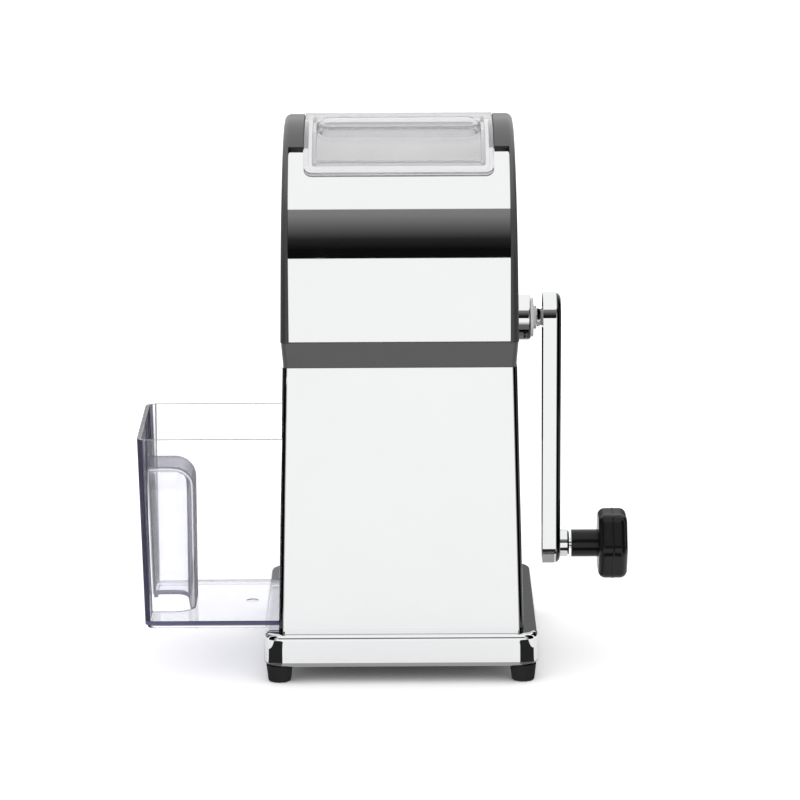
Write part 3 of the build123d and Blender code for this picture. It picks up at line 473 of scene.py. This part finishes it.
class StudioSettings(bpy.types.PropertyGroup):
    """The floor, the screens that chrome reflects, and the camera."""

    floor_shade: share_of_light("Floor Shade", "Share of light that the floor sends back", 0.8)
    floor_seen_shade: FloatProperty(
        name="Floor Shade to the Camera", description="The floor's shade where the camera sees it",
        default=1.3, min=0.0, max=2.0)
    screen_low: angle("Screen Low Edge", "Height above the horizon of the dark screen's foot", 0.0)
    screen_high: angle(
        "Screen High Edge", "Height above the horizon of the dark screen's top", 46.5)
    screen_grey: share_of_light(
        "Screen Grey", "Brightness of the upper part of the dark screen", 0.22)
    card_distance: distance(
        "Card Distance", "From the crusher's middle to each far side card", 0.56)
    near_distance: distance(
        "Near Card Distance", "From the crusher's middle to each near side card", 0.18)
    front_distance: distance(
        "Front Card Distance", "From the crusher's middle to the white front card", 0.665)
    front_height: distance("Front Card Height", "Top of the white card above the floor", 0.239)
    camera_pitch: angle("Camera Pitch", "How far the camera looks down", 12.5)
    camera_roll: angle("Camera Roll", "How far the camera leans clockwise", 0.29)
    camera_place: FloatVectorProperty(
        name="Camera Place", description="From the middle of the base's underside",
        default=(0.0, -1.9815, 0.5640), subtype="TRANSLATION", unit="LENGTH")
    lens: FloatProperty(
        name="Lens", description="Focal length on a 36 mm sensor", default=185.8,
        subtype="DISTANCE_CAMERA")


class FinishSettings(bpy.types.PropertyGroup):
    """Colours and polish of the finishes."""

    chrome_tone: tone_of("Chrome", "Colour of the chrome plating", (0.90, 0.905, 0.91))
    chrome_polish: FloatProperty(
        name="Chrome Roughness", description="Roughness of clean chrome", default=0.025,
        min=0.0, max=1.0)
    dark_tone: tone_of(
        "Dark Plastic", "Colour of the cheeks and the collar", (0.085, 0.085, 0.087))
    # Also the tint of the painted depth shade on the clear parts.
    clear_depth_tint: tone_of(
        "Clear Plastic Depth", "Colour that a thick part of the plastic takes on",
        (0.425, 0.425, 0.63))
    drawer_absorption: FloatProperty(
        name="Drawer Absorption", description="How fast the drawer darkens, per metre",
        default=52.0, min=0.0)
    lid_absorption: FloatProperty(
        name="Lid Absorption", description="How fast the lid darkens, per metre",
        default=13.0, min=0.0)
    drawer_haze: share_of_light("Drawer Haze", "Share of light that the drawer scatters", 0.02)
    lid_haze: share_of_light("Lid Haze", "Share of light that the lid scatters", 0.12)
    knob_tone: tone_of("Knob", "Colour of the crank's knob", (0.006, 0.006, 0.0065))
    base_plate_tone: tone_of("Base Plate", "Colour of the plate below", (0.05, 0.05, 0.052))
    rubber_tone: tone_of("Rubber", "Colour of the feet", (0.018, 0.018, 0.018))
    pale_tone: tone_of("Pale Plastic", "Colour of the hopper and chute", (0.90, 0.895, 0.88))
    nylon_tone: tone_of("Nylon", "Colour of the shaft's bushes", (0.82, 0.82, 0.80))
    cast_tone: tone_of("Cast Aluminium", "Colour of the crusher's frame", (0.62, 0.63, 0.64))
    blade_tone: tone_of("Blade Steel", "Colour of the blades and comb", (0.62, 0.62, 0.63))
    screw_tone: tone_of("Screw Steel", "Colour of the screws and pin", (0.66, 0.66, 0.67))


# ---------------------------------------------------------------- operators


class ICECRUSHER_OT_studio(bpy.types.Operator):
    """Builds the camera, the white room, the floor and the dark cards that edge the chrome"""

    bl_idname = "icecrusher.studio"
    bl_label = "Studio"

    def execute(self, context):
        settings = context.scene.ice_studio
        context.scene.view_settings.view_transform = "Standard"
        self.make_camera(context, settings)
        self.make_world(context, settings)
        self.make_floor(settings)
        self.make_cards(settings)
        return {"FINISHED"}

    def make_camera(self, context, settings):
        """A long lens in front of the crusher that looks a little down on it."""
        data = bpy.data.cameras.new("camera")
        camera = bpy.data.objects.new("camera", data)
        context.scene.collection.objects.link(camera)
        data.lens = settings.lens
        data.sensor_width = 36.0
        data.clip_start, data.clip_end = 0.05, 50.0
        turn = Matrix.Rotation(math.pi / 2 - settings.camera_pitch, 4, "X")
        lean = Matrix.Rotation(-settings.camera_roll, 4, "Z")
        place = Vector(settings.camera_place) + Vector((MIDDLE_X, 0.0, 0.0))
        camera.matrix_world = Matrix.Translation(place) @ turn @ lean
        context.scene.camera = camera

    def make_world(self, context, settings):
        """White to the eye; chrome and clear plastic also see a dark screen round the front half.

        The screen grows lighter with its height, from black at its foot to grey at its top."""
        world = bpy.data.worlds.new("studio")
        context.scene.world = world
        tree = Tree(world)
        _, ahead, height = tree.axes("Generated")
        grey = (settings.screen_grey,) * 3
        foot, top = math.sin(settings.screen_low), math.sin(settings.screen_high)
        steps = [
            (math.sin(math.radians(degrees)), shaded(grey, share))
            for degrees, share in SCREEN_STEPS]
        screen = tree.node(
            "ShaderNodeValToRGB", None, {"Fac": height}, stops=[
                (foot, WHITE), (foot + SCREEN_EDGE, SCREEN_BLACK),
                (math.sin(math.radians(SCREEN_BLACK_TOP)), SCREEN_BLACK), *steps,
                (top, grey), (top + SCREEN_EDGE, WHITE)])
        mirrored = (tree.ray("Is Glossy Ray") | tree.ray("Is Transmission Ray")) * (
            tree.ray("Diffuse Depth") < 0.5)
        in_front = (-ahead).between(0.05, 0.35)
        light = tree.node(
            "ShaderNodeBackground", None,
            {"Color": tree.mix(mirrored * in_front, WHITE, screen), "Strength": 1.0})
        tree.node("ShaderNodeOutputWorld", None, {"Surface": light})

    def make_floor(self, settings):
        """A wide floor that looks white in the open and keeps the crusher's soft shadow."""
        made, tree = material("floor")
        seen = tree.ray("Is Camera Ray") | tree.ray("Is Transmission Ray")
        shade, seen_shade = settings.floor_shade, settings.floor_seen_shade
        glow = (1.0 - shade) * tree.ray("Is Glossy Ray")
        tree.surface(tree.principled(
            Base_Color=tree.mix(seen, (shade,) * 3, (seen_shade,) * 3), Roughness=1.0,
            Specular_IOR_Level=0.0, Emission_Color=tree.mix(glow, BLACK, WHITE),
            Emission_Strength=1.0))
        ends = (-FLOOR_REACH, FLOOR_REACH)
        points = np.array([[(x, y, cad_low.z) for y in ends] for x in ends])
        add_object("floor", grid_mesh("floor", points, smooth=False), made)

    def make_cards(self, settings):
        """Cards that only chrome and gloss see, and clear plastic the far ones.

        Dark ones stand beside the crusher and lie by its base. A white one in front keeps the
        base bright, and a grey one behind darkens the deck."""
        low = cad_low.z
        level = low + LEVEL_CARD_LIFT
        rows = [
            ("card_low_front", (-FRONT_CARD_REACH, FRONT_CARD_REACH),
             (-settings.front_distance,) * 2, (low, settings.front_height), 1.0, None),
            ("card_low_rear", (-REAR_CARD_REACH, REAR_CARD_REACH), (REAR_CARD_PLACE,) * 2,
             (low, REAR_CARD_HEIGHT), REAR_CARD_GLOW, None),
            ("card_floor_under", BASE_CARD_ACROSS, BASE_CARD_ALONG, (level,) * 2,
             BASE_CARD_GLOW, None)]
        for hand, side, rear_glow in (("left", -1, LEFT_REAR_GLOW), ("right", 1, 0.0)):
            far, near = side * settings.card_distance, side * settings.near_distance
            beside_corner = tuple(side * x for x in CORNER_CARD_ACROSS)
            rows += [
                (f"card_far_front_{hand}", (far,) * 2, FAR_CARD_FRONT, (low, FAR_CARD_HEIGHT),
                 0.0, FAR_FRONT_FADE),
                (f"card_far_rear_{hand}", (far,) * 2, FAR_CARD_REAR, (low, FAR_CARD_HEIGHT),
                 rear_glow, FAR_REAR_FADE),
                (f"card_near_front_{hand}", (near,) * 2, NEAR_CARD_FRONT,
                 (low, NEAR_CARD_HEIGHT), 0.0, NEAR_FADE),
                (f"card_floor_{hand}", beside_corner, CORNER_CARD_ALONG, (level,) * 2,
                 CORNER_CARD_GLOW, None)]
        for name, across, along, heights, glow, fade in rows:
            self.make_card(name, across, along, heights, card_finish(name, glow, fade))

    def make_card(self, name, across, along, heights, finish):
        """One card from its two ends in X, Y and Z: upright, or level where the heights agree."""
        (x0, x1), (y0, y1), (z0, z1) = across, along, heights
        if z0 == z1:
            corners = [[(x0, y0, z0), (x0, y1, z0)], [(x1, y0, z0), (x1, y1, z0)]]
        else:
            corners = [[(x0, y0, z0), (x0, y0, z1)], [(x1, y1, z0), (x1, y1, z1)]]
        points = np.array(corners) + (MIDDLE_X, 0.0, 0.0)
        card = add_object(name, grid_mesh(name, points, smooth=False), finish)
        card.visible_camera = card.visible_diffuse = card.visible_shadow = False
        card.visible_transmission = name.startswith("card_far")
        card.visible_volume_scatter = False


class ICECRUSHER_OT_body(bpy.types.Operator):
    """Finishes the chrome base, housing and panels, and the dark cheeks and collar"""

    bl_idname = "icecrusher.body"
    bl_label = "Base, Housing and Head"

    def execute(self, context):
        settings = context.scene.ice_finish
        dress(chrome_finish("chrome", settings), "base", "front_panel", "rear_panel")
        # Painted dark reflection along the tower's upright edge roundings on both sides.
        edged = chrome_finish("chrome_tower", settings, edge=0.97, both_sides=True)
        dress(edged, "lower_housing")
        dress(grained_plastic("dark_plastic", settings.dark_tone, roughness=0.34), "collar")
        # Painted shade: the hood's upright faces are darker than its top.
        hood = grained_plastic("dark_hood", settings.dark_tone, roughness=0.34, painted_side_shade=0.6)
        dress(hood, "hood")
        plate = grained_plastic("base_plastic", settings.base_plate_tone, roughness=0.55)
        dress(plate, "base_plate")
        rubber = grained_plastic(
            "rubber", settings.rubber_tone, roughness=0.7, grain=0.0006, depth=0.00006, gloss=0.3)
        dress(rubber, *(
            f"foot_{end}_{hand}" for end in ("front", "rear") for hand in ("left", "right")))
        return {"FINISHED"}


class ICECRUSHER_OT_clear_parts(bpy.types.Operator):
    """Finishes the clear lid and the clear ice drawer"""

    bl_idname = "icecrusher.clear_parts"
    bl_label = "Lid and Drawer"

    def execute(self, context):
        settings = context.scene.ice_finish
        drawer = clear_plastic(
            "clear_drawer", settings.clear_depth_tint, settings.drawer_absorption,
            settings.drawer_haze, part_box("drawer"))
        dress(drawer, "drawer")
        lid = clear_plastic(
            "clear_lid", settings.clear_depth_tint, settings.lid_absorption, settings.lid_haze)
        dress(lid, "lid")
        return {"FINISHED"}


class ICECRUSHER_OT_crusher(bpy.types.Operator):
    """Finishes the hopper, the crusher's frame, shaft, blades and comb, and the screws"""

    bl_idname = "icecrusher.crusher"
    bl_label = "Hopper and Crusher"

    def execute(self, context):
        settings = context.scene.ice_finish
        pale = grained_plastic("pale_plastic", settings.pale_tone, roughness=0.5)
        dress(pale, "hopper", "ice_chute", "drawer_guide")
        dress(cast_metal("cast_aluminium", settings.cast_tone, roughness=0.5), "crusher_frame")
        steel = brushed_steel(
            "blade_steel", settings.blade_tone, roughness=0.3, stretch=(1.0, 0.15, 1.0))
        blades = [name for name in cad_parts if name.startswith("crusher_blade_")]
        dress(steel, "comb", "crusher_shaft", "blade_spacers", "shaft_clip", *blades)
        screws = brushed_steel(
            "screw_steel", settings.screw_tone, roughness=0.28, stretch=(0.3, 1.0, 1.0))
        dress(screws, "foot_screws", "frame_screws", "lid_hinge_pin", "crank_screw")
        nylon = grained_plastic("nylon", settings.nylon_tone, roughness=0.4)
        dress(nylon, "left_bush", "crank_bush")
        return {"FINISHED"}


class ICECRUSHER_OT_crank(bpy.types.Operator):
    """Finishes the chrome crank and its black knob, and adds the knob's seam"""

    bl_idname = "icecrusher.crank"
    bl_label = "Crank and Knob"

    def execute(self, context):
        settings = context.scene.ice_finish
        dress(bpy.data.materials["chrome"], "crank_hub", "knob_spindle", "ferrule")
        # Painted dark reflections: on the boss's underside, and along the arm's outward edge
        # roundings.
        dress(chrome_finish("chrome_boss", settings, under=0.9), "crank_boss")
        dress(chrome_finish("chrome_painted_dark_edges", settings, edge=1.0), "crank_arm")
        black = grained_plastic(
            "black_plastic", settings.knob_tone, roughness=0.2, grain=0.0005, depth=0.00001,
            gloss=0.3)
        dress(black, "knob", "knob_end_cap")
        self.make_parting_line(black)
        return {"FINISHED"}

    def make_parting_line(self, finish):
        """The moulding seam round the knob's six sides.

        The ring follows a hexagon with rounded corners: at each turn its distance from the axis
        is a soft minimum of the distances to the six sides' lines. Across its width it stands
        proud by a raised-cosine bead, whose edges are sunk into the knob."""
        low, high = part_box("knob")
        axis_y, axis_z = (low.y + high.y) / 2, (low.z + high.z) / 2
        sides = np.radians(np.arange(KNOB_SIDES) * 360.0 / KNOB_SIDES)
        turn = np.linspace(0.0, 2 * math.pi, SEAM_STEPS_ROUND, endpoint=False)
        side_distance = (high.z - low.z) / 2
        # A side that the turn doesn't meet counts as one far off.
        lean = np.clip(np.cos(turn[:, None] - sides + math.pi / 2), 0.05, None)
        reach = side_distance / lean
        outline = -KNOB_CORNER_SOFTNESS * np.log(
            np.exp(-reach / KNOB_CORNER_SOFTNESS).sum(axis=1))
        across = np.linspace(-1.0, 1.0, SEAM_STEPS_ACROSS + 1)
        bead = SEAM_HEIGHT * (1.0 + np.cos(math.pi * across)) / 2 - SEAM_SUNK
        radius = outline[:, None] + bead
        middle_x = high.x - SEAM_FROM_END
        points = np.stack([
            np.broadcast_to(middle_x + SEAM_HALF_WIDTH * across, radius.shape),
            axis_y + radius * np.cos(turn)[:, None],
            axis_z + radius * np.sin(turn)[:, None]], axis=-1)
        mesh = grid_mesh("knob_parting_line", points, close_u=True)
        seam = add_object("knob_parting_line", mesh, finish)
        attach(seam, "knob")


class ICECRUSHER_PT_parts(bpy.types.Panel):
    """Lists the crusher's settings and the steps that build it"""

    bl_idname = "ICECRUSHER_PT_parts"
    bl_label = "Ice Crusher"
    bl_space_type = "VIEW_3D"
    bl_region_type = "UI"
    bl_category = "Ice Crusher"

    def draw(self, context):
        layout = self.layout
        for group in (context.scene.ice_studio, context.scene.ice_finish):
            box = layout.box()
            for name in group.bl_rna.properties.keys():
                if name not in ("rna_type", "name"):
                    box.prop(group, name)
        for step in STEPS:
            layout.operator(step.bl_idname)


STEPS = (
    ICECRUSHER_OT_studio,
    ICECRUSHER_OT_body,
    ICECRUSHER_OT_clear_parts,
    ICECRUSHER_OT_crusher,
    ICECRUSHER_OT_crank,
)
CLASSES = (StudioSettings, FinishSettings, *STEPS, ICECRUSHER_PT_parts)


def register():
    """Makes the classes and their settings known to Blender."""
    for item in CLASSES:
        bpy.utils.register_class(item)
    bpy.types.Scene.ice_studio = PointerProperty(type=StudioSettings)
    bpy.types.Scene.ice_finish = PointerProperty(type=FinishSettings)


def unregister():
    """Takes the settings and classes out again."""
    del bpy.types.Scene.ice_finish
    del bpy.types.Scene.ice_studio
    for item in reversed(CLASSES):
        bpy.utils.unregister_class(item)


def main():
    """Builds everything in order."""
    register()
    for step in STEPS:
        group, name = step.bl_idname.split(".")
        getattr(getattr(bpy.ops, group), name)()


if __name__ == "__main__":
    main()
